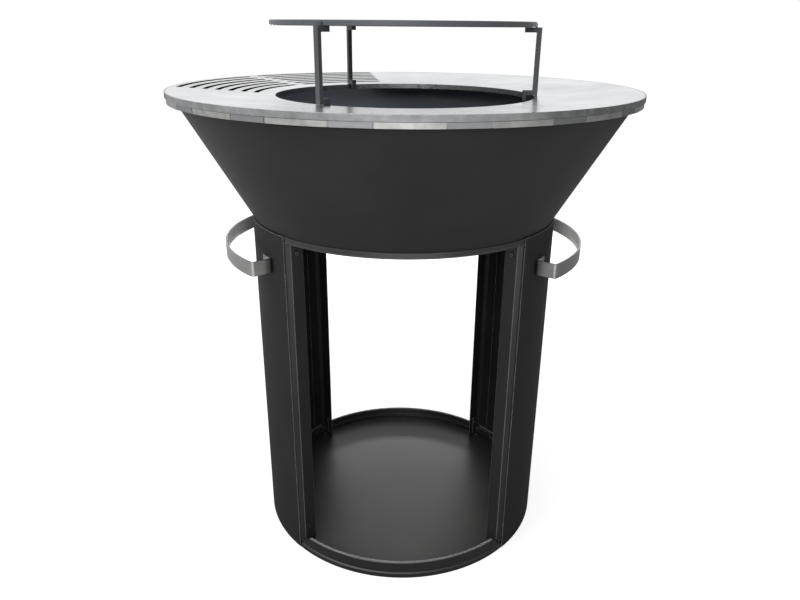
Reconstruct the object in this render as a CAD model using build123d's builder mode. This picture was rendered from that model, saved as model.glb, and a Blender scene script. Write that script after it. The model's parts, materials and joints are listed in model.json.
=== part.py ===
"""Round wood-fired barbecue grill, millimetres, +Z up, ground at z = 0.

The front, which the photo was taken from, is the -Y side.
"""
import os
from math import acos, asin, cos, degrees, hypot, radians, sin, sqrt

from build123d import *

os.makedirs("parts", exist_ok=True)

# Driving sizes: drum base
drum_radius = 274.3
panel_sheet = 1.5
panel_sweep = 90.0
panel_top = 622.0
panel_ground_gap = 2.0
upright_sheet = 1.5
upright_lip = 22.0
lip_over = 1.8
flange_offset = 7.65
fold_flange = 23.9
fold_radius = 2.5

# Driving sizes: rings and floor
ring_gap = 0.5
ring_wall = 2.0
base_ring_height = 35.0
rim_bead_radius = 2.8
foot_flange_width = 14.0
foot_flange_sheet = 2.0
groove_low = 8.5
groove_high = 18.0
groove_depth = 2.0
floor_height = 10.2
floor_sheet = 2.0
floor_edge_gap = 1.9
floor_ledge_width = 16.0
notch_back = 3.0
notch_flat = 9.0
notch_length = 28.0
notch_width = 16.0
upper_ring_wall = 1.5
upper_ring_height = 7.5
upper_ring_drop = 1.0
upper_flange_width = 30.0
upper_flange_sheet = 2.0

# Driving sizes: bowl, band and cooking plate
plate_radius = 400.0
plate_thickness = 9.0
plate_dish = 12.3
hole_radius = 223.0
bowl_sheet = 2.0
bowl_height = 208.5
bowl_floor_sheet = 3.0
bowl_rim_sheet = 2.0
band_inset = 1.7
band_wall = 3.0
band_drop = 4.0
band_rise = 3.9
band_flange_sheet = 2.0
band_flange_width = 11.0
band_rim_gap = 2.0
band_pairs = 17
band_start = 270.5
band_long_sweep = 12.9
slit_width = 2.2
slit_depth = 1.8
mouth_inset = 10.5

# Driving sizes: grill slots
slot_count = 7
slot_width = 9.0
slot_first_margin = 33.7
slot_last_margin = 14.3
slot_start = 101.2
slot_end = 184.7
slot_rib = 20.0

# Driving sizes: raised round plate
rack_height = 109.8
rack_shift = -4.0
rack_bar = 8.0
rack_leg_margin = 2.0
rack_disc_thickness = 8.5
rack_disc_edge = 1.0
clip_lip = 2.0
clip_lip_height = 6.0
clip_tab = 18.0
hook_length = 17.0
hook_prong = 6.0
hook_drop = 8.5
rack_angles = {"right": -2.8, "back": 117.2, "front": 237.2}

# Driving sizes: handles
strap_height = 25.0
strap_thickness = 3.0
strap_bend = 4.0
handle_below_top = 57.3
handle_half_angle = 37.3
handle_corner_depth = 37.0
handle_bow_depth = 51.0
handle_foot = 30.0

# Driving sizes: fasteners and brackets
shank_radius = 2.5
shank_gap = 0.3
thread_gap = 0.1
head_across_flats = 8.0
head_height = 3.5
nut_height = 4.0
bolt_tail = 1.5
bracket_sheet = 3.0
bracket_inner_inset = 18.8
bracket_bend_inset = 6.3
bracket_width = 11.0
bracket_low = 19.0
bracket_shelf = 29.0
bracket_top = 58.0
bracket_turn = 0.7
bracket_reach = 8.2
screw_angle = 6.5
screw_height = 24.0
bottom_bolt_height = 47.0
tab_width = 14.0
tab_drop = 32.0
top_bolt_drop = 19.0

# Clearances between pieces
seat_gap = 0.3
fit_gap = 0.2
slip_gap = 1.0

# Derived: drum
panel_mid = drum_radius - panel_sheet / 2
panel_inside = drum_radius - panel_sheet
ring_outside = panel_inside - ring_gap
lip_mid = panel_inside - fit_gap - upright_sheet / 2
foot_lip = notch_back - slip_gap
lip_turn = degrees(asin(lip_over / lip_mid))
flange_outer = lip_mid + lip_over - flange_offset
flange_face = flange_offset + upright_sheet / 2
flange_back = flange_offset - upright_sheet / 2
half_sweep = panel_sweep / 2

# Derived: rings and floor
base_inside = ring_outside - ring_wall
groove_inside = base_inside - groove_depth
bead_middle = ring_outside - rim_bead_radius
bead_height = base_ring_height - rim_bead_radius
bead_overlap = rim_bead_radius - ring_wall
bead_sweep = 360 - degrees(acos(bead_overlap / rim_bead_radius))
bead_foot = bead_height - sqrt(rim_bead_radius**2 - bead_overlap**2)
notch_height = base_ring_height + slip_gap - groove_high
floor_radius = groove_inside - floor_edge_gap
ledge_top = floor_height - floor_sheet
ledge_inner = groove_inside - floor_ledge_width
upper_ring_top = panel_top - upper_ring_drop
bowl_seat = upper_ring_top - upper_ring_height
upper_flange_bottom = bowl_seat - upper_flange_sheet
upper_inside = ring_outside - upper_ring_wall
upper_flange_inner = ring_outside - upper_flange_width
flange_bottom = floor_height + fit_gap
fold_bottom = groove_high + fit_gap
lip_bottom = base_ring_height + fit_gap
fold_top = upper_flange_bottom - fit_gap

# Derived: bowl, band and plate
band_outside = plate_radius - band_inset
band_inside = band_outside - band_wall
mouth_radius = band_inside - mouth_inset
neck_radius = upper_inside - seat_gap
cone_slope = (mouth_radius - neck_radius) / (bowl_height - upper_ring_height)
bowl_bottom_radius = neck_radius - cone_slope * upper_ring_height
bowl_sheet_level = bowl_sheet * sqrt(1 + cone_slope**2)
bowl_mouth = bowl_seat + bowl_height
bowl_rim_top = bowl_mouth + bowl_rim_sheet
bowl_rim_outer = band_inside - band_rim_gap
bowl_rim_inner = mouth_radius - bowl_sheet_level
band_bottom = bowl_rim_top - band_drop
band_top = bowl_rim_top + band_rise
plate_slope = plate_dish / (plate_radius - hole_radius)
plate_rim_top = (
    band_top + seat_gap + plate_thickness + plate_slope * (plate_radius - band_inside)
)
plate_hole_top = plate_rim_top - plate_dish
slot_first_radius = hole_radius + slot_first_margin
slot_last_radius = plate_radius - slot_last_margin
slot_pitch = (slot_last_radius - slot_first_radius) / (slot_count - 1)

# Derived: rack
leg_inner = hole_radius + rack_leg_margin
leg_outer = leg_inner + rack_bar
disc_bottom = plate_hole_top + rack_height
disc_radius = leg_inner - clip_lip - slip_gap / 2
hook_inner = leg_inner - hook_length

# Derived: handles
strap_mid = drum_radius + fit_gap + strap_thickness / 2
strap_low = panel_top - handle_below_top - strap_height / 2
handle_height = panel_top - handle_below_top
foot_angle = degrees(handle_foot / strap_mid)
handle_bolt_angle = handle_half_angle - degrees(0.6 * handle_foot / strap_mid)
head_radius = head_across_flats / 2

# Derived: brackets
bracket_inner = base_inside - bracket_inner_inset
bracket_bend = base_inside - bracket_bend_inset
bracket_mid = bracket_inner + bracket_width / 2
bracket_offset = flange_back - bracket_sheet / 2
bracket_arc = base_inside - seat_gap - bracket_sheet / 2
screw_radius = bracket_arc - bracket_sheet / 2 - fit_gap
tab_mid = flange_outer - fold_radius - fit_gap - tab_width / 2

# Corners of the drum: the panel edge's direction and the side its opening lies on
corner_names = {
    "back_right": (half_sweep, 1),
    "front_right": (-half_sweep, -1),
    "back_left": (180 - half_sweep, -1),
    "front_left": (180 + half_sweep, 1),
}
corners = list(corner_names.values())


def polar(radius, angle):
    """A point of the plan at a radius and an angle in degrees."""
    return (radius * cos(radians(angle)), radius * sin(radians(angle)))


def corner_plane(corner, radius, offset, height):
    """A plane across an upright's flange, facing the opening, its x along the radius."""
    angle, side = corner
    radial = Vector(*polar(1, angle), 0)
    opening = Vector(*polar(1, angle + 90), 0) * side
    origin = radial * radius + opening * offset + Vector(0, 0, height)
    return Plane(origin=origin, x_dir=radial, z_dir=opening)


def radial_plane(angle, radius, height, facing=1):
    """An upright plane that faces outward (or inward, -1) at an angle, its x along the tangent."""
    outward = Vector(*polar(1, angle), 0)
    origin = outward * radius + Vector(0, 0, height)
    tangent = Vector(*polar(1, angle + 90), 0)
    return Plane(origin=origin, x_dir=tangent, z_dir=outward * facing)


def side_plane(angle):
    """The upright plane through the rack's axis: x along the radius and y up."""
    radial = Vector(*polar(1, angle), 0)
    return Plane(origin=(rack_shift, 0, 0), x_dir=radial, z_dir=Vector(*polar(1, angle - 90), 0))


def turned_ring(points):
    """A ring made by turning a closed outline of (radius, height) points."""
    with BuildPart() as ring:
        with BuildSketch(Plane.XZ):
            with BuildLine():
                Polyline(*points, close=True)
            make_face()
        revolve(axis=Axis.Z)
    return ring


def bolt_set(planes, grip, beyond=nut_height + bolt_tail):
    """Hexagon bolts: the head on each plane, the shank back through the grip and beyond it."""
    with BuildPart() as bolts:
        for plane in planes:
            with BuildSketch(plane):
                RegularPolygon(head_radius, 6, major_radius=False)
            extrude(amount=head_height)
            with BuildSketch(plane):
                Circle(shank_radius)
            extrude(amount=-(grip + beyond))
    return bolts


def nut_set(planes, grip):
    """Hexagon nuts behind the grip of the bolts on the same planes."""
    with BuildPart() as nuts:
        for plane in planes:
            with BuildSketch(plane.offset(-grip - nut_height)):
                RegularPolygon(head_radius, 6, major_radius=False)
                Circle(shank_radius + thread_gap, mode=Mode.SUBTRACT)
            extrude(amount=nut_height)
    return nuts


def hole_set(planes, grip, gap=shank_gap):
    """Pins that cut holes with a gap round the shank, both ways from each plane."""
    with BuildPart() as pins:
        for plane in planes:
            with BuildSketch(plane):
                Circle(shank_radius + gap)
            extrude(amount=grip + slip_gap, both=True)
    return pins


# Bolt positions
top_bolt_planes = [
    corner_plane(c, tab_mid, flange_face, upper_flange_bottom - top_bolt_drop)
    for c in corners
]
bottom_bolt_planes = [
    corner_plane(c, bracket_mid, flange_face, bottom_bolt_height)
    for c in corners
]
bracket_screw_planes = [
    radial_plane(angle - side * screw_angle, screw_radius, screw_height, -1)
    for angle, side in corners
]
handle_bolt_planes = [
    radial_plane(middle + side * handle_bolt_angle, strap_mid + strap_thickness / 2, handle_height)
    for middle in (0, 180)
    for side in (1, -1)
]
top_grip = upright_sheet + bracket_sheet
bracket_grip = ring_outside - screw_radius
handle_grip = strap_thickness + fit_gap + panel_sheet
top_holes = hole_set(top_bolt_planes, top_grip)
bottom_holes = hole_set(bottom_bolt_planes, top_grip)
bracket_holes = hole_set(bracket_screw_planes, bracket_grip)
bracket_threads = hole_set(bracket_screw_planes, bracket_grip, thread_gap)
handle_holes = hole_set(handle_bolt_planes, handle_grip)

# Base ring: rolled sheet with a beaded rim, a pressed groove and a ledge for the floor
with BuildPart() as base_hoop:
    with BuildSketch(Plane.XZ):
        with BuildLine():
            Polyline(
                (base_inside, bead_foot),
                (base_inside, groove_high),
                (groove_inside, groove_high - groove_depth),
                (groove_inside, groove_low + groove_depth),
                (base_inside, groove_low),
                (base_inside, ledge_top),
                (ledge_inner, ledge_top),
                (ledge_inner, ledge_top - floor_sheet),
                (base_inside, ledge_top - floor_sheet),
                (base_inside, foot_flange_sheet),
                (ring_outside - foot_flange_width, foot_flange_sheet),
                (ring_outside - foot_flange_width, 0),
                (ring_outside, 0),
                (ring_outside, groove_low),
                (ring_outside - groove_depth, groove_low + groove_depth),
                (ring_outside - groove_depth, groove_high - groove_depth),
                (ring_outside, groove_high),
                (ring_outside, bead_height),
            )
            CenterArc((bead_middle, bead_height), rim_bead_radius, 0, bead_sweep)
        make_face()
    revolve(axis=Axis.Z)

# Notches in the base ring that let the uprights down past its rim
with BuildPart() as notches:
    for c in corners:
        across = corner_plane(c, bead_middle - notch_width / 2, 0, groove_high)
        rise = notch_height * c[1]
        with BuildSketch(Plane(origin=across.origin, x_dir=across.z_dir, z_dir=across.x_dir)):
            with BuildLine():
                Polyline(
                    (-notch_back, 0),
                    (notch_flat, 0),
                    (notch_length, rise),
                    (-notch_back, rise),
                    close=True,
                )
            make_face()
        extrude(amount=notch_width)
with BuildPart() as base_ring:
    add(base_hoop.part)
    add(notches.part, mode=Mode.SUBTRACT)
    add(bracket_threads.part, mode=Mode.SUBTRACT)

# Floor of the wood store: a flat round plate on the ledge
floor_plate = turned_ring(
    [
        (0, ledge_top),
        (floor_radius, ledge_top),
        (floor_radius, floor_height),
        (0, floor_height),
    ]
)


def drum_panel(middle):
    """A quarter of the drum's skin, with holes for its handle."""
    with BuildPart() as panel:
        with BuildSketch(Plane.XY.offset(panel_ground_gap)):
            with BuildLine():
                CenterArc((0, 0), panel_mid, middle - half_sweep, panel_sweep)
            trace(line_width=panel_sheet)
        extrude(amount=panel_top - panel_ground_gap)
        add(handle_holes.part, mode=Mode.SUBTRACT)
    return panel


def upright_section(corner, lip, height):
    """The folded outline of an upright, with a length of lip inside the skin."""
    angle, side = corner
    lip_angle = degrees(lip / lip_mid)
    lip_end = Vector(*polar(lip_mid, angle - side * lip_angle), 0)
    between = Vector(*polar(lip_mid, angle - side * lip_angle / 2), 0)
    lip_fold = Vector(*polar(lip_mid, angle + side * lip_turn), 0)
    flange_fold = corner_plane(corner, flange_outer, flange_offset, 0).origin
    flange_end = corner_plane(corner, flange_outer - fold_flange, flange_offset, 0).origin
    with BuildSketch(Plane.XY.offset(height)) as section:
        with BuildLine() as path:
            ThreePointArc(lip_end, between, lip_fold)
            Polyline(lip_fold, flange_fold, flange_end)
            bends = [
                v
                for v in path.vertices()
                if min((v.center() - p).length for p in (lip_fold, flange_fold)) < fit_gap
            ]
            fillet(bends, fold_radius)
        trace(line_width=upright_sheet)
    return section.sketch


def folded_upright(corner):
    """A post folded from sheet: a lip, a slanted strip and a flange that stands on the floor."""
    foot_width = fold_flange - fold_radius
    foot_mid = flange_outer - fold_radius - foot_width / 2
    foot_middle = (flange_bottom + lip_bottom) / 2
    with BuildPart() as upright:
        extrude(upright_section(corner, upright_lip, lip_bottom), amount=fold_top - lip_bottom)
        extrude(upright_section(corner, foot_lip, fold_bottom), amount=lip_bottom - fold_bottom)
        with BuildSketch(corner_plane(corner, foot_mid, flange_back, foot_middle)):
            Rectangle(foot_width, lip_bottom - flange_bottom)
        extrude(amount=upright_sheet)
        add(top_holes.part, mode=Mode.SUBTRACT)
        add(bottom_holes.part, mode=Mode.SUBTRACT)
    return upright


right_panel = drum_panel(0)
left_panel = drum_panel(180)

# Upper ring: a flat seat for the bowl, with an upright hoop on its edge
upper_ring = turned_ring(
    [
        (upper_flange_inner, upper_flange_bottom),
        (ring_outside, upper_flange_bottom),
        (ring_outside, bowl_seat),
        (upper_flange_inner, bowl_seat),
    ]
)
neck_hoop = turned_ring(
    [
        (upper_inside, bowl_seat),
        (ring_outside, bowl_seat),
        (ring_outside, upper_ring_top),
        (upper_inside, upper_ring_top),
    ]
)

# Tabs that hang from the upper ring behind the uprights' flanges
with BuildPart() as upper_tabs:
    for c in corners:
        with BuildSketch(corner_plane(c, tab_mid, flange_back, upper_flange_bottom - tab_drop / 2)):
            Rectangle(tab_width, tab_drop)
        extrude(amount=-bracket_sheet)
    add(top_holes.part, mode=Mode.SUBTRACT)

# Angle brackets: one leg behind an upright's flange, the other along the base ring's wall
with BuildPart() as lower_brackets:
    for c in corners:
        angle, side = c
        inner_end = corner_plane(c, bracket_inner, bracket_offset, 0).origin
        first_bend = corner_plane(c, bracket_bend, bracket_offset, 0).origin
        second_bend = Vector(*polar(bracket_arc, angle - side * bracket_turn), 0)
        between = Vector(*polar(bracket_arc, angle - side * bracket_reach / 2), 0)
        outer_end = Vector(*polar(bracket_arc, angle - side * bracket_reach), 0)
        with BuildSketch(Plane.XY.offset(bracket_low)):
            with BuildLine() as path:
                Polyline(inner_end, first_bend, second_bend)
                ThreePointArc(second_bend, between, outer_end)
                bends = [
                    v
                    for v in path.vertices()
                    if min((v.center() - p).length for p in (first_bend, second_bend)) < fit_gap
                ]
                fillet(bends, fold_radius)
            trace(line_width=bracket_sheet)
        extrude(amount=bracket_shelf - bracket_low)
        upright_middle = (bracket_low + bracket_top) / 2
        with BuildSketch(corner_plane(c, bracket_mid, flange_back, upright_middle)):
            Rectangle(bracket_width, bracket_top - bracket_low)
        extrude(amount=-bracket_sheet)
    add(bottom_holes.part, mode=Mode.SUBTRACT)
    add(bracket_holes.part, mode=Mode.SUBTRACT)

# Fasteners of the drum
panel_top_bolts = bolt_set(top_bolt_planes, top_grip)
panel_top_nuts = nut_set(top_bolt_planes, top_grip)
panel_bottom_bolts = bolt_set(bottom_bolt_planes, top_grip)
panel_bottom_nuts = nut_set(bottom_bolt_planes, top_grip)
bracket_screws = bolt_set(bracket_screw_planes, bracket_grip, 0)
handle_bolts = bolt_set(handle_bolt_planes, handle_grip)
handle_nuts = nut_set(handle_bolt_planes, handle_grip + fit_gap)


def strap_handle(middle):
    """A strap bent to an outward bow with two feet turned in along the panel."""
    with BuildPart() as handle:
        with BuildSketch(Plane.XY.offset(strap_low)):
            with BuildLine() as path:
                heels = []
                corner_points = []
                for side in (1, -1):
                    angle = middle + side * handle_half_angle
                    heel = Vector(*polar(strap_mid, angle), 0)
                    corner_point = Vector(*polar(drum_radius + handle_corner_depth, angle), 0)
                    toe = Vector(*polar(strap_mid, angle - side * foot_angle), 0)
                    halfway = Vector(*polar(strap_mid, angle - side * foot_angle / 2), 0)
                    ThreePointArc(toe, halfway, heel)
                    Line(heel, corner_point)
                    heels.append(heel)
                    corner_points.append(corner_point)
                bow = Vector(*polar(drum_radius + handle_bow_depth, middle), 0)
                ThreePointArc(corner_points[0], bow, corner_points[1])
                bends = [
                    v
                    for v in path.vertices()
                    if min((v.center() - p).length for p in heels + corner_points) < fit_gap
                ]
                fillet(bends, strap_bend)
            trace(line_width=strap_thickness)
        extrude(amount=strap_height)
        add(handle_holes.part, mode=Mode.SUBTRACT)
    return handle


right_handle = strap_handle(0)
left_handle = strap_handle(180)

# Fire bowl: conical wall, flat floor and an out-turned lip
bowl_wall = turned_ring(
    [
        (bowl_bottom_radius, bowl_seat),
        (mouth_radius, bowl_mouth),
        (bowl_rim_inner, bowl_mouth),
        (bowl_bottom_radius - bowl_sheet_level, bowl_seat),
    ]
)
bowl_floor_edge = bowl_bottom_radius - bowl_sheet_level - fit_gap
bowl_floor = turned_ring(
    [
        (0, bowl_seat),
        (bowl_floor_edge, bowl_seat),
        (bowl_floor_edge + cone_slope * bowl_floor_sheet, bowl_seat + bowl_floor_sheet),
        (0, bowl_seat + bowl_floor_sheet),
    ]
)
bowl_rim = turned_ring(
    [
        (bowl_rim_inner, bowl_mouth),
        (bowl_rim_outer, bowl_mouth),
        (bowl_rim_outer, bowl_rim_top),
        (bowl_rim_inner, bowl_rim_top),
    ]
)

# Band under the cooking plate: curved long sections, flat short ones, slits between
band_hoop = turned_ring(
    [
        (band_inside - band_flange_width, bowl_rim_top),
        (band_inside, bowl_rim_top),
        (band_inside, band_bottom),
        (band_outside, band_bottom),
        (band_outside, band_top),
        (band_inside, band_top),
        (band_inside, bowl_rim_top + band_flange_sheet),
        (band_inside - band_flange_width, bowl_rim_top + band_flange_sheet),
    ]
)
band_step = 360.0 / band_pairs
band_short_sweep = band_step - band_long_sweep
flat_radius = band_outside * cos(radians(band_short_sweep / 2))
flat_width = 2 * band_outside * sin(radians(band_short_sweep / 2))
with BuildPart() as rim_band:
    add(band_hoop.part)
    with BuildSketch(Plane.XY.offset(band_bottom)):
        with PolarLocations(flat_radius + slit_depth, band_pairs, band_start + band_step / 2):
            Rectangle(2 * slit_depth, flat_width)
    extrude(amount=band_top - band_bottom, mode=Mode.SUBTRACT)
    with BuildSketch(Plane.XY.offset(band_bottom)):
        for side in (1, -1):
            slit_angle = band_start + side * band_long_sweep / 2
            with PolarLocations(band_outside, band_pairs, slit_angle):
                Rectangle(2 * slit_depth, slit_width)
    extrude(amount=band_top - band_bottom, mode=Mode.SUBTRACT)

# Cooking plate: dished, with a fire hole and two sections of grill slots
plate_blank = turned_ring(
    [
        (hole_radius, plate_hole_top),
        (plate_radius, plate_rim_top),
        (plate_radius, plate_rim_top - plate_thickness),
        (hole_radius, plate_hole_top - plate_thickness),
    ]
)
slot_middle = (slot_start + slot_end) / 2
with BuildPart() as cooking_plate:
    add(plate_blank.part)
    with BuildSketch(Plane.XY.offset(plate_rim_top)):
        for number in range(slot_count):
            radius = slot_first_radius + number * slot_pitch
            end_angle = degrees(asin(slot_width / 2 / radius))
            rib_angle = degrees(asin((slot_rib + slot_width) / 2 / radius))
            slot_sweep = (slot_end - slot_start) / 2 - end_angle - rib_angle
            for first in (slot_start + end_angle, slot_middle + rib_angle):
                SlotArc(CenterArc((0, 0), radius, first, slot_sweep), height=slot_width)
    extrude(amount=-(plate_dish + plate_thickness), mode=Mode.SUBTRACT)

# Raised plate: a plain disc on three legs with clips above and hooks below
rack_disc = turned_ring(
    [
        (0, disc_bottom),
        (disc_radius - rack_disc_edge, disc_bottom),
        (disc_radius, disc_bottom + rack_disc_edge),
        (disc_radius, disc_bottom + rack_disc_thickness - rack_disc_edge),
        (disc_radius - rack_disc_edge, disc_bottom + rack_disc_thickness),
        (0, disc_bottom + rack_disc_thickness),
    ]
)
with BuildPart() as rack_plate:
    with Locations((rack_shift, 0, 0)):
        add(rack_disc.part)


def rack_piece(angle, points):
    """A piece of square bar stock cut to an outline in a leg's upright plane."""
    with BuildPart() as piece:
        with BuildSketch(side_plane(angle)):
            with BuildLine():
                Polyline(*points, close=True)
            make_face()
        extrude(amount=rack_bar / 2, both=True)
    return piece


def foot_height(angle):
    """The underside of a leg, just above the sloping cooking plate."""
    across, along = polar(leg_outer, angle)
    far = hypot(rack_shift + across, along)
    return plate_hole_top + plate_slope * (far - hole_radius) + seat_gap


clip_outline = [
    (leg_inner - clip_lip - clip_tab, disc_bottom - rack_bar),
    (leg_inner, disc_bottom - rack_bar),
    (leg_inner, disc_bottom + clip_lip_height),
    (leg_inner - clip_lip, disc_bottom + clip_lip_height),
    (leg_inner - clip_lip, disc_bottom),
    (leg_inner - clip_lip - clip_tab, disc_bottom),
]
pieces = {
    "base_ring": base_ring,
    "floor_plate": floor_plate,
    "left_panel": left_panel,
    "right_panel": right_panel,
    "upper_ring": upper_ring,
    "neck_hoop": neck_hoop,
    "upper_tabs": upper_tabs,
    "lower_brackets": lower_brackets,
    "panel_top_bolts": panel_top_bolts,
    "panel_top_nuts": panel_top_nuts,
    "panel_bottom_bolts": panel_bottom_bolts,
    "panel_bottom_nuts": panel_bottom_nuts,
    "bracket_screws": bracket_screws,
    "left_handle": left_handle,
    "right_handle": right_handle,
    "handle_bolts": handle_bolts,
    "handle_nuts": handle_nuts,
    "bowl_wall": bowl_wall,
    "bowl_floor": bowl_floor,
    "bowl_rim": bowl_rim,
    "rim_band": rim_band,
    "cooking_plate": cooking_plate,
    "rack_plate": rack_plate,
}
for place, corner in corner_names.items():
    pieces["upright_" + place] = folded_upright(corner)
for place, leg_angle in rack_angles.items():
    leg_bottom = foot_height(leg_angle)
    leg_outline = [
        (leg_inner, leg_bottom),
        (leg_outer, leg_bottom),
        (leg_outer, disc_bottom),
        (leg_inner, disc_bottom),
    ]
    hook_outline = [
        (leg_inner, leg_bottom),
        (leg_inner, leg_bottom + rack_bar),
        (hook_inner, leg_bottom + rack_bar),
        (hook_inner, plate_hole_top - hook_drop),
        (hook_inner + hook_prong, plate_hole_top - hook_drop),
        (hook_inner + hook_prong, leg_bottom),
    ]
    pieces["rack_leg_" + place] = rack_piece(leg_angle, leg_outline)
    pieces["rack_clip_" + place] = rack_piece(leg_angle, clip_outline)
    pieces["rack_hook_" + place] = rack_piece(leg_angle, hook_outline)

for label, piece in pieces.items():
    piece.part.label = label
    export_step(piece.part, "parts/" + label + ".step")
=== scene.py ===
"""Round wood-fired barbecue grill, dressed for the render. Metres, the frame's own axes."""
import json
from math import cos, radians, sin

import bpy
from mathutils import Matrix, Vector

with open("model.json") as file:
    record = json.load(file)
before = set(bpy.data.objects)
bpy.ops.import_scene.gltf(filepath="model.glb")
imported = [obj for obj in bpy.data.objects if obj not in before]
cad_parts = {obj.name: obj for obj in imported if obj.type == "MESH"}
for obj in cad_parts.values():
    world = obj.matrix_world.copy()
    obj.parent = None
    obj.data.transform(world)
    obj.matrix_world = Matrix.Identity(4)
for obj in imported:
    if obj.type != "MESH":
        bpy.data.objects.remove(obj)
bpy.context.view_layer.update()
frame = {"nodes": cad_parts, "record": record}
nodes = frame["nodes"]

# Camera, from a fit to the photograph: pixels, millimetres of sensor, metres and degrees
LENS_PIXELS = 687.0
PHOTO_WIDTH = 800.0
SENSOR_WIDTH = 36.0
CAMERA_PLACE = (-0.0117, -1.2476, 0.9381)
CAMERA_PITCH = 21.87
CAMERA_YAW = -0.3
CAMERA_ROLL = 0.5

# World: its levels from left to right as a light, and in mirrors from the horizon up and toward the right
WHITE = (1.0, 1.0, 1.0, 1.0)
BACKGROUND_WHITE = 1.0
LIGHT_SIDES = (0.6, 0.32)
SIDES_STRETCH = (-1.0, 1.0)
MIRRORED_UPWARD = (BACKGROUND_WHITE, 0.6)
UPWARD_STRETCH = (0.3, 1.0)
MIRRORED_RIGHTWARD = (1.0, 0.5)
RIGHTWARD_STRETCH = (0.35, 0.9)

# Floor: its size, its levels from near to far, and the distances in metres over which they change
FLOOR_REACH = 40.0
FLOOR_DROP = 0.0005
FLOOR_COLOUR = 0.45
FLOOR_GLOW = (0.76, 0.85)
GLOW_STRETCH = (1.0, 5.0)
FLOOR_GLOW_MIRRORED = 0.06
FLOOR_BOUNCE = (0.2, 0.8)
BOUNCE_STRETCH = (0.6, 3.0)
BACK_RIGHT = (0.71, 0.71, 0.0)
BACK_RIGHT_DIMMING = (1.0, 0.2)
DIMMING_STRETCH = (0.8, 2.6)

# The plate's radii, its slotted sector and the band's long and short sections, as the part has them
PLATE_RADIUS = 0.4
HOLE_RADIUS = 0.223
SLOT_INNER = 0.252
SLOT_OUTER = 0.39
SLOT_MIDDLE = 142.95
SLOT_HALF_SWEEP = 41.75
BAND_PAIRS = 17
BAND_START = 270.5
BAND_LONG_SWEEP = 12.9

# Where masks fade: metres from a radius or in height, parts of a normal, degrees, and parts of a band's pair
RIM_FADE = (-0.004, -0.002)
RIM_SHADE_LINE_FADE = (-0.0035, -0.0025)
HOLE_FADE = (0.012, 0.006)
SECTOR_FADE = 0.006
SECTOR_FADE_ANGLE = 1.0
SECTION_FADE = 0.01
UPRIGHT_FADE = (0.8, 0.5)
INSIDE_FADE = (0.06, -0.06)
FOLD_START_FADE = (0.1, 0.25)
FOLD_END_FADE = (0.64, 0.5)
EDGE_FADE = (0.99, 0.86)
RING_RIM_HIGHLIGHT_FADE = (0.0331, 0.0345)

# Coatings: noise features a metre, shares and stretches of noise, relief, and the colours of worn places,
# some of them lightened further as painted highlights
PATCH_SCALE = 9.0
PEEL_SCALE = 420.0
GRIT_SCALE = 1500.0
PATCH_DETAIL = 4.0
GRIT_DETAIL = 2.0
PATCH_SHARE = 0.65
GRIT_SHARE = 0.35
GRIT_RELIEF = 0.5
SPECK_STRETCH = (0.35, 0.65)
PATCH_STRETCH = (0.3, 0.7)
PEEL_STRETCH = (0.35, 0.6)
PEEL_WEAR = (0.5, 1.0)
COAT_RELIEF = 0.35
COAT_DEPTH = 0.00006
COAT_ROUNDING = 0.0008
# Share of the worn colour on an upright's outer fold: a painted highlight line
FOLD_HIGHLIGHT = 0.28
BOWL_METAL = 0.6
BOWL_ROUGHER = 0.35
WORN_BLACK = (0.2, 0.2, 0.205)
# Drum and upright edges: worn paint and a painted highlight along them
WORN_EDGE_AND_HIGHLIGHT = (0.42, 0.42, 0.43)
WORN_GREY = (0.1, 0.102, 0.106)
WORN_BOLT = (0.08, 0.08, 0.082)
# The ring's bead top: worn paint and a painted highlight line
RIM_WEAR_AND_HIGHLIGHT = (0.2, 0.2, 0.2)

# Bare steel: the same, and the darker and lighter colour of each tinted place: stains, and painted shade in
# the slots and on a line round the plate's rim
CLOUD_SCALE = 7.0
STAIN_SCALE = 60.0
STEEL_DETAIL = 4.0
LINE_SCALE = 1.0
LINE_ROUGHNESS = 0.65
LINE_SHARE = 0.5
STEEL_STRETCH = (0.36, 0.62)
GLOSS_STRETCH = (0.35, 0.65)
STAIN_STRETCH = (0.3, 0.7)
STEEL_RELIEF = 0.4
STEEL_DEPTH = 0.00004
STEEL_ROUNDING = 0.0006
CUT_ROUNDING = 0.0001
QUARTER_TURN = 0.25
# Slot walls near black: painted shade in the slots
SLOT_SHADE_TINT = ((0.02, 0.021, 0.023), (0.05, 0.052, 0.055))
HOLE_TINT = ((0.34, 0.345, 0.35), (0.48, 0.485, 0.49))
BARS_TINT = ((0.54, 0.55, 0.56), (0.66, 0.67, 0.68))
RIM_TINT = ((0.42, 0.425, 0.43), (0.6, 0.61, 0.62))
# A painted shade line just inside the plate's rim
RIM_SHADE_LINE_TINT = ((0.2, 0.19, 0.18), (0.42, 0.41, 0.4))
SECTION_TINT = ((0.42, 0.42, 0.41), (0.6, 0.6, 0.59))

# Nodes: a vector's level part, bevel samples, and the Mix node's sockets by place, as they share names
LEVEL_PART = (1.0, 1.0, 0.0)
BEVEL_SAMPLES = 4
MIX_SOCKETS = {"FLOAT": ((0, 2, 3), 0), "RGBA": ((0, 6, 7), 2)}


def tree_of(owner):
    """The emptied node tree of a material or a world."""
    owner.use_nodes = True
    tree = owner.node_tree
    tree.nodes.clear()
    return tree


def is_socket(value):
    """Whether a value is a node's socket."""
    return isinstance(value, bpy.types.NodeSocket)


def fill(tree, sockets, values):
    """Link or set each socket from a value, which is a socket or plain."""
    for socket, value in zip(sockets, values):
        if is_socket(value):
            tree.links.new(value, socket)
        else:
            socket.default_value = value


def put(tree, kind, **settings):
    """A node; a setting names a property of the node, or else one of its sockets."""
    node = tree.nodes.new("ShaderNode" + kind)
    for key, value in settings.items():
        if hasattr(node, key):
            setattr(node, key, value)
        else:
            fill(tree, [node.inputs[key.replace("_", " ")]], [value])
    return node


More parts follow.
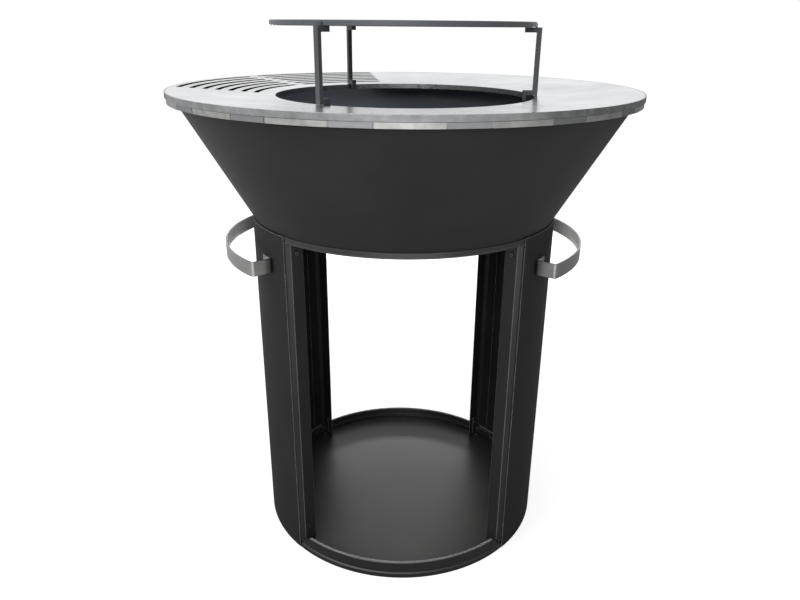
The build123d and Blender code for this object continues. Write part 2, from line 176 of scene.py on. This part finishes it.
def math_of(tree, operation, *values):
    """A Math node on sockets or numbers."""
    node = put(tree, "Math", operation=operation)
    fill(tree, node.inputs, values)
    return node.outputs[0]


def vector_of(tree, operation, *values):
    """A Vector Math node on sockets or triples."""
    node = put(tree, "VectorMath", operation=operation)
    fill(tree, node.inputs, values)
    return node.outputs["Value" if operation in ("DOT_PRODUCT", "LENGTH") else "Vector"]


def mix_of(tree, data_type, amount, low, high):
    """A Mix node from low to high by an amount socket."""
    inputs, output = MIX_SOCKETS[data_type]
    node = put(tree, "Mix", data_type=data_type)
    fill(tree, [node.inputs[index] for index in inputs], (amount, low, high))
    return node.outputs[output]


def blend_of(tree, amount, *ends):
    """A colour mixed between two, each a socket or three numbers."""
    return mix_of(tree, "RGBA", amount, *(end if is_socket(end) else (*end, 1.0) for end in ends))


def ramp_of(tree, amount, ends, stretch=(0.0, 1.0)):
    """A number that goes from one end to the other over a stretch of an amount socket."""
    low, high = stretch
    return put(tree, "MapRange", Value=amount, From_Min=low, From_Max=high,
               To_Min=ends[0], To_Max=ends[1]).outputs[0]


def masked(tree, value, fade):
    """A soft mask: nought where the fade starts, one where it ends."""
    start, end = fade
    return put(tree, "MapRange", interpolation_type="SMOOTHSTEP", Value=value,
               From_Min=start, From_Max=end).outputs[0]


def place_of(tree):
    """The place on the object, in metres from its origin."""
    return put(tree, "TexCoord").outputs["Object"]


def axes_of(tree, vector):
    """A vector's X, Y and Z."""
    return put(tree, "SeparateXYZ", Vector=vector).outputs


def noise_of(tree, where, scale, detail=3.0, roughness=0.55):
    """A noise value at a coordinate socket."""
    return put(tree, "TexNoise", Vector=where, Scale=scale, Detail=detail, Roughness=roughness).outputs["Fac"]


def upright_mask(tree):
    """One on faces that stand upright, nought on level ones."""
    normal = put(tree, "TexCoord").outputs["Normal"]
    return masked(tree, math_of(tree, "ABSOLUTE", axes_of(tree, normal)["Z"]), UPRIGHT_FADE)


def axis_distance(tree):
    """The distance from the grill's axis."""
    place = axes_of(tree, place_of(tree))
    squares = [math_of(tree, "POWER", place[axis], 2.0) for axis in ("X", "Y")]
    return math_of(tree, "POWER", math_of(tree, "ADD", *squares), 0.5)


def radius_mask(tree, radius, fade):
    """One on the side of a radius where the fade ends."""
    return masked(tree, axis_distance(tree), [radius + step for step in fade])


def facing_out(tree):
    """How far a face looks away from the grill's axis: one outward, minus one inward."""
    level = vector_of(tree, "MULTIPLY", place_of(tree), LEVEL_PART)
    outward = vector_of(tree, "NORMALIZE", level)
    return vector_of(tree, "DOT_PRODUCT", outward, put(tree, "TexCoord").outputs["Normal"])


def fold_mask(tree):
    """One on an upright's outer fold, between its flange and its slanted strip."""
    facing = facing_out(tree)
    started = masked(tree, facing, FOLD_START_FADE)
    return math_of(tree, "MULTIPLY", started, masked(tree, facing, FOLD_END_FADE))


def sector_mask(tree):
    """One over the plate's slotted sector."""
    middle = (cos(radians(SLOT_MIDDLE)), sin(radians(SLOT_MIDDLE)), 0.0)
    along = vector_of(tree, "DOT_PRODUCT", place_of(tree), middle)
    distance = axis_distance(tree)
    angles = (SLOT_HALF_SWEEP + SECTOR_FADE_ANGLE, SLOT_HALF_SWEEP)
    turned = masked(tree, math_of(tree, "DIVIDE", along, distance), [cos(radians(angle)) for angle in angles])
    within = math_of(tree, "MULTIPLY", masked(tree, distance, (SLOT_INNER - SECTOR_FADE, SLOT_INNER)),
                     masked(tree, distance, (SLOT_OUTER + SECTOR_FADE, SLOT_OUTER)))
    return math_of(tree, "MULTIPLY", turned, within)


def section_mask(tree):
    """One on the band's long sections, nought on the short ones."""
    pair = radians(360.0 / BAND_PAIRS)
    half = radians(BAND_LONG_SWEEP) / pair / 2
    place = axes_of(tree, place_of(tree))
    angle = math_of(tree, "ARCTAN2", place["Y"], place["X"])
    pairs = math_of(tree, "DIVIDE", math_of(tree, "SUBTRACT", angle, radians(BAND_START)), pair)
    part = math_of(tree, "FRACT", math_of(tree, "ADD", pairs, 0.5))
    offset = math_of(tree, "ABSOLUTE", math_of(tree, "SUBTRACT", part, 0.5))
    return masked(tree, offset, (half + SECTION_FADE, half - SECTION_FADE))


def edge_mask(tree, edges):
    """One along the edges that a Bevel node rounds, nought on the faces between them."""
    normal = put(tree, "NewGeometry").outputs["Normal"]
    return masked(tree, vector_of(tree, "DOT_PRODUCT", edges, normal), EDGE_FADE)


def finish_look(tree, shader, edges, relief, strength, depth):
    """Relief on rounded edges, and the output."""
    bump = put(tree, "Bump", Height=relief, Strength=strength, Distance=depth, Normal=edges)
    fill(tree, [shader.inputs["Normal"]], [bump.outputs[0]])
    put(tree, "OutputMaterial", Surface=shader.outputs[0])


def coated(name, colour, lighter, rough, sheen, worn_and_lit, rounding=COAT_ROUNDING, inside=None, worn_and_lit_above=None,
           fold=False):
    """A matt coating: fine grit, patchy gloss, worn edges, on some looks also a painted edge highlight;
    inside is a metal colour within.

    Above a height, where one is given, it is lightened as worn paint and a painted highlight, and on an outer
    fold as a painted highlight line.
    """
    material = bpy.data.materials.new(name)
    tree = tree_of(material)
    place = place_of(tree)
    patches = noise_of(tree, place, PATCH_SCALE, PATCH_DETAIL)
    grit = noise_of(tree, place, GRIT_SCALE, GRIT_DETAIL)
    peel = noise_of(tree, place, PEEL_SCALE, GRIT_DETAIL)
    speck = math_of(tree, "ADD", math_of(tree, "MULTIPLY", patches, PATCH_SHARE),
                    math_of(tree, "MULTIPLY", grit, GRIT_SHARE))
    tone = blend_of(tree, ramp_of(tree, speck, (0.0, 1.0), SPECK_STRETCH), colour, lighter)
    edges = put(tree, "Bevel", samples=BEVEL_SAMPLES, Radius=rounding).outputs[0]
    rubbed_and_lit = edge_mask(tree, edges)
    # Above a height, the ring's bead top is lightened as worn paint and a painted highlight
    if worn_and_lit_above:
        height = axes_of(tree, place)["Z"]
        rubbed_and_lit = math_of(tree, "MAXIMUM", rubbed_and_lit, masked(tree, height, worn_and_lit_above))
    # An upright's outer fold is lightened as a painted highlight line
    if fold:
        rubbed_and_lit = math_of(tree, "MAXIMUM", rubbed_and_lit, math_of(tree, "MULTIPLY", fold_mask(tree), FOLD_HIGHLIGHT))
    # Worn colour over edges, a height and a fold: worn paint and painted highlights
    wear_and_highlight = math_of(tree, "MULTIPLY", rubbed_and_lit, ramp_of(tree, peel, PEEL_WEAR, PEEL_STRETCH))
    tone = blend_of(tree, wear_and_highlight, tone, worn_and_lit)
    gloss = ramp_of(tree, patches, rough, PATCH_STRETCH)
    shader = put(tree, "BsdfPrincipled", Specular_IOR_Level=sheen)
    if inside:
        mask = masked(tree, facing_out(tree), INSIDE_FADE)
        tone = blend_of(tree, mask, tone, inside)
        gloss = math_of(tree, "ADD", gloss, ramp_of(tree, mask, (0.0, BOWL_ROUGHER)))
        fill(tree, [shader.inputs["Metallic"]], [ramp_of(tree, mask, (0.0, BOWL_METAL))])
    fill(tree, [shader.inputs["Base Color"], shader.inputs["Roughness"]], [tone, gloss])
    relief = math_of(tree, "ADD", peel, math_of(tree, "MULTIPLY", grit, GRIT_RELIEF))
    finish_look(tree, shader, edges, relief, COAT_RELIEF, COAT_DEPTH)
    return material


def stained_or_shaded(tree, colours):
    """A colour that varies between two, in small patches."""
    patches = noise_of(tree, place_of(tree), STAIN_SCALE, STEEL_DETAIL)
    return blend_of(tree, ramp_of(tree, patches, (0.0, 1.0), STAIN_STRETCH), *colours)


def plate_tint(tree, tone):
    """The plate's edges, a painted shade line round its rim, slots darkened as painted shade, and dull bars
    between them.
    """
    tone = blend_of(tree, sector_mask(tree), tone, stained_or_shaded(tree, BARS_TINT))
    # A painted shade line round the rim, and painted shade in the slots
    tone = blend_of(tree, radius_mask(tree, PLATE_RADIUS, RIM_SHADE_LINE_FADE), tone, stained_or_shaded(tree, RIM_SHADE_LINE_TINT))
    cut = blend_of(tree, radius_mask(tree, HOLE_RADIUS, HOLE_FADE), stained_or_shaded(tree, SLOT_SHADE_TINT),
                   stained_or_shaded(tree, HOLE_TINT))
    edge = blend_of(tree, radius_mask(tree, PLATE_RADIUS, RIM_FADE), cut, stained_or_shaded(tree, RIM_TINT))
    return blend_of(tree, upright_mask(tree), tone, edge)


def band_tint(tree, tone):
    """The band's long sections are brighter than the short ones."""
    return blend_of(tree, section_mask(tree), tone, stained_or_shaded(tree, SECTION_TINT))


def rim_rounding(tree):
    """The plate's outer edge is rounded, the cut edges of its hole and slots are sharp."""
    return ramp_of(tree, radius_mask(tree, PLATE_RADIUS, RIM_FADE), (CUT_ROUNDING, STEEL_ROUNDING))


def brushed(name, colour, darker, grain, rough, tint=None, rounding=None, streak=0.0):
    """Bare steel: fine lines one way and soft clouds; streak draws highlights out across the lines."""
    material = bpy.data.materials.new(name)
    tree = tree_of(material)
    stretched = put(tree, "Mapping", Vector=place_of(tree), Scale=grain).outputs[0]
    lines = noise_of(tree, stretched, LINE_SCALE, STEEL_DETAIL, LINE_ROUGHNESS)
    clouds = noise_of(tree, place_of(tree), CLOUD_SCALE)
    mix = math_of(tree, "ADD", math_of(tree, "MULTIPLY", lines, LINE_SHARE),
                  math_of(tree, "MULTIPLY", clouds, 1.0 - LINE_SHARE))
    tone = blend_of(tree, ramp_of(tree, mix, (0.0, 1.0), STEEL_STRETCH), darker, colour)
    shader = put(tree, "BsdfPrincipled", Metallic=1.0)
    gloss = ramp_of(tree, mix, (rough[1], rough[0]), GLOSS_STRETCH)
    fill(tree, [shader.inputs["Base Color"], shader.inputs["Roughness"]],
         [tint(tree, tone) if tint else tone, gloss])
    if streak:
        around = put(tree, "Tangent", direction_type="RADIAL", axis="Z").outputs[0]
        turned = [shader.inputs[key] for key in ("Anisotropic", "Anisotropic Rotation", "Tangent")]
        fill(tree, turned, [streak, QUARTER_TURN, around])
    radius = rounding(tree) if rounding else STEEL_ROUNDING
    edges = put(tree, "Bevel", samples=BEVEL_SAMPLES, Radius=radius).outputs[0]
    finish_look(tree, shader, edges, lines, STEEL_RELIEF, STEEL_DEPTH)
    return material


# Looks of the material slots, and of the nodes that differ from their slot
LOOKS = {
    # The drum's edges are lightened as worn paint and a painted edge highlight
    "drum_black": coated("drum_coat", colour=(0.014, 0.0141, 0.0144), lighter=(0.021, 0.0211, 0.0215),
                         rough=(0.55, 0.63), sheen=0.2, worn_and_lit=WORN_EDGE_AND_HIGHLIGHT, rounding=0.0016),
    "bowl_black": coated("bowl_coat", colour=(0.02, 0.0203, 0.0216), lighter=(0.03, 0.0304, 0.032),
                         rough=(0.48, 0.56), sheen=0.36, worn_and_lit=WORN_BLACK, inside=(0.26, 0.29, 0.33)),
    "floor_grey": coated("floor_coat", colour=(0.026, 0.0255, 0.0245), lighter=(0.036, 0.035, 0.0335),
                         rough=(0.36, 0.42), sheen=0.6, worn_and_lit=WORN_BLACK),
    "rack_grey": coated("rack_coat", colour=(0.056, 0.059, 0.063), lighter=(0.08, 0.083, 0.088),
                        rough=(0.4, 0.52), sheen=0.4, worn_and_lit=WORN_GREY),
    "disc_grey": coated("disc_coat", colour=(0.066, 0.071, 0.078), lighter=(0.09, 0.096, 0.104),
                        rough=(0.36, 0.48), sheen=0.5, worn_and_lit=WORN_GREY),
    "bolt_steel": coated("bolt_black", colour=(0.012, 0.012, 0.0125), lighter=(0.02, 0.02, 0.021),
                         rough=(0.2, 0.28), sheen=0.7, worn_and_lit=WORN_BOLT, rounding=0.0005),
    "plate_steel": brushed("plate_ground", colour=(0.78, 0.795, 0.81), darker=(0.59, 0.605, 0.62),
                           grain=(14.0, 420.0, 420.0), rough=(0.18, 0.3), tint=plate_tint,
                           rounding=rim_rounding),
    "band_steel": brushed("band_bright", colour=(0.42, 0.43, 0.44), darker=(0.28, 0.285, 0.295),
                          grain=(60.0, 60.0, 900.0), rough=(0.3, 0.45), tint=band_tint),
    "handle_steel": brushed("handle_brushed", colour=(0.5, 0.495, 0.485), darker=(0.34, 0.34, 0.34),
                            grain=(30.0, 30.0, 1400.0), rough=(0.34, 0.44), streak=0.8),
}
hoop_coat = coated("hoop_coat", colour=(0.018, 0.018, 0.0185), lighter=(0.027, 0.027, 0.0275),
                   rough=(0.3, 0.36), sheen=0.55, worn_and_lit=WORN_BLACK)
# The ring's bead top is lightened as worn paint and a painted highlight
ring_coat = coated("ring_coat", colour=(0.014, 0.014, 0.014), lighter=(0.022, 0.022, 0.022),
                   rough=(0.3, 0.36), sheen=0.5, worn_and_lit=RIM_WEAR_AND_HIGHLIGHT, rounding=0.0003, worn_and_lit_above=RING_RIM_HIGHLIGHT_FADE)
# The uprights' edges are lightened as worn paint and a painted highlight, their outer fold as a painted
# highlight line
upright_coat = coated("upright_coat", colour=(0.015, 0.0152, 0.0163), lighter=(0.022, 0.0223, 0.0238),
                      rough=(0.32, 0.4), sheen=0.42, worn_and_lit=WORN_EDGE_AND_HIGHLIGHT, rounding=0.0012, fold=True)
NODE_LOOKS = {"base_ring": ring_coat, "upper_ring": hoop_coat, "neck_hoop": hoop_coat}
for corner_name in ("back_right", "front_right", "back_left", "front_left"):
    NODE_LOOKS["upright_" + corner_name] = upright_coat
slot_of = {part["node"]: part["material_slot"] for part in frame["record"]["subparts"]}
for node_name, node_object in nodes.items():
    for slot in node_object.material_slots:
        slot.material = NODE_LOOKS.get(node_name, LOOKS[slot_of[node_name]])


def place_camera():
    """A camera that sees the grill as the photograph does."""
    lens = bpy.data.cameras.new("photo_camera")
    lens.sensor_width = SENSOR_WIDTH
    lens.lens = LENS_PIXELS / PHOTO_WIDTH * SENSOR_WIDTH
    camera = bpy.data.objects.new("photo_camera", lens)
    turn = (Matrix.Rotation(radians(CAMERA_YAW), 4, "Z")
            @ Matrix.Rotation(radians(90.0 - CAMERA_PITCH), 4, "X")
            @ Matrix.Rotation(radians(CAMERA_ROLL), 4, "Z"))
    camera.matrix_world = Matrix.Translation(CAMERA_PLACE) @ turn
    bpy.context.scene.collection.objects.link(camera)
    bpy.context.scene.camera = camera


def mirrored_rays(tree, rays):
    """One for rays that a surface mirrors or lets through."""
    return math_of(tree, "MAXIMUM", rays["Is Glossy Ray"], rays["Is Transmission Ray"])


def light_world():
    """White to the camera, dimmer overhead and on the right in mirrors, softer as a light."""
    world = bpy.data.worlds.new("studio")
    bpy.context.scene.world = world
    tree = tree_of(world)
    rays = put(tree, "LightPath").outputs
    toward = axes_of(tree, put(tree, "TexCoord").outputs["Generated"])
    upward = ramp_of(tree, toward["Z"], MIRRORED_UPWARD, UPWARD_STRETCH)
    rightward = ramp_of(tree, toward["X"], MIRRORED_RIGHTWARD, RIGHTWARD_STRETCH)
    sideways = ramp_of(tree, toward["X"], LIGHT_SIDES, SIDES_STRETCH)
    lit = mix_of(tree, "FLOAT", mirrored_rays(tree, rays), sideways,
                 math_of(tree, "MULTIPLY", upward, rightward))
    level = mix_of(tree, "FLOAT", rays["Is Camera Ray"], lit, BACKGROUND_WHITE)
    sky = put(tree, "Background", Color=WHITE, Strength=level)
    put(tree, "OutputWorld", Surface=sky.outputs[0])


def lay_floor():
    """A pale floor that keeps the shadow, glows to the camera and is darker in mirrors and as a light."""
    bpy.ops.mesh.primitive_plane_add(size=2 * FLOOR_REACH, location=(0, 0, -FLOOR_DROP))
    plane = bpy.context.object
    plane.name = "studio_floor"
    look = bpy.data.materials.new("studio_floor")
    tree = tree_of(look)
    rays = put(tree, "LightPath").outputs
    place = place_of(tree)
    reach = vector_of(tree, "LENGTH", place)
    seen = math_of(tree, "MULTIPLY", rays["Is Camera Ray"], ramp_of(tree, reach, FLOOR_GLOW, GLOW_STRETCH))
    mirrored = math_of(tree, "MULTIPLY", mirrored_rays(tree, rays), FLOOR_GLOW_MIRRORED)
    glow = put(tree, "Emission", Color=WHITE, Strength=math_of(tree, "ADD", seen, mirrored))
    toward_corner = vector_of(tree, "DOT_PRODUCT", place, BACK_RIGHT)
    bounce = math_of(tree, "MULTIPLY", ramp_of(tree, reach, FLOOR_BOUNCE, BOUNCE_STRETCH),
                     ramp_of(tree, toward_corner, BACK_RIGHT_DIMMING, DIMMING_STRETCH))
    paper = put(tree, "BsdfDiffuse", Color=mix_of(tree, "FLOAT", rays["Is Camera Ray"], bounce, FLOOR_COLOUR))
    both = put(tree, "AddShader")
    fill(tree, both.inputs, [glow.outputs[0], paper.outputs[0]])
    put(tree, "OutputMaterial", Surface=both.outputs[0])
    plane.data.materials.append(look)
    return plane


def softbox(name, place, aim, width, height, power):
    """An area lamp at a place, pointing at another, unseen by the camera."""
    lamp = bpy.data.lights.new(name, "AREA")
    lamp.shape = "RECTANGLE"
    lamp.size = width
    lamp.size_y = height
    lamp.energy = power
    holder = bpy.data.objects.new(name, lamp)
    holder.location = place
    direction = Vector(aim) - Vector(place)
    holder.rotation_euler = direction.to_track_quat("-Z", "Y").to_euler()
    holder.visible_camera = False
    bpy.context.scene.collection.objects.link(holder)


# Camera, world, floor and lamps
place_camera()
light_world()
floor = lay_floor()
softbox("key_softbox", place=(-2.2, -1.5, 3.0), aim=(0.0, 0.0, 0.5), width=2.0, height=1.8, power=44.0)
softbox("front_softbox", place=(-0.4, -2.8, 1.7), aim=(0.0, 0.0, 0.5), width=2.0, height=0.8, power=30.0)
softbox("low_softbox", place=(0.1, -1.7, 0.1), aim=(0.0, 0.0, 0.45), width=1.6, height=0.12, power=2.5)
softbox("top_softbox", place=(-0.3, 0.2, 2.8), aim=(0.0, 0.0, 0.8), width=1.8, height=1.8, power=10.0)
softbox("back_softbox", place=(0.1, 2.1, 0.508), aim=(0.0, 0.0, 0.1), width=2.4, height=0.1, power=20.0)

# View
bpy.context.scene.view_settings.view_transform = "Standard"
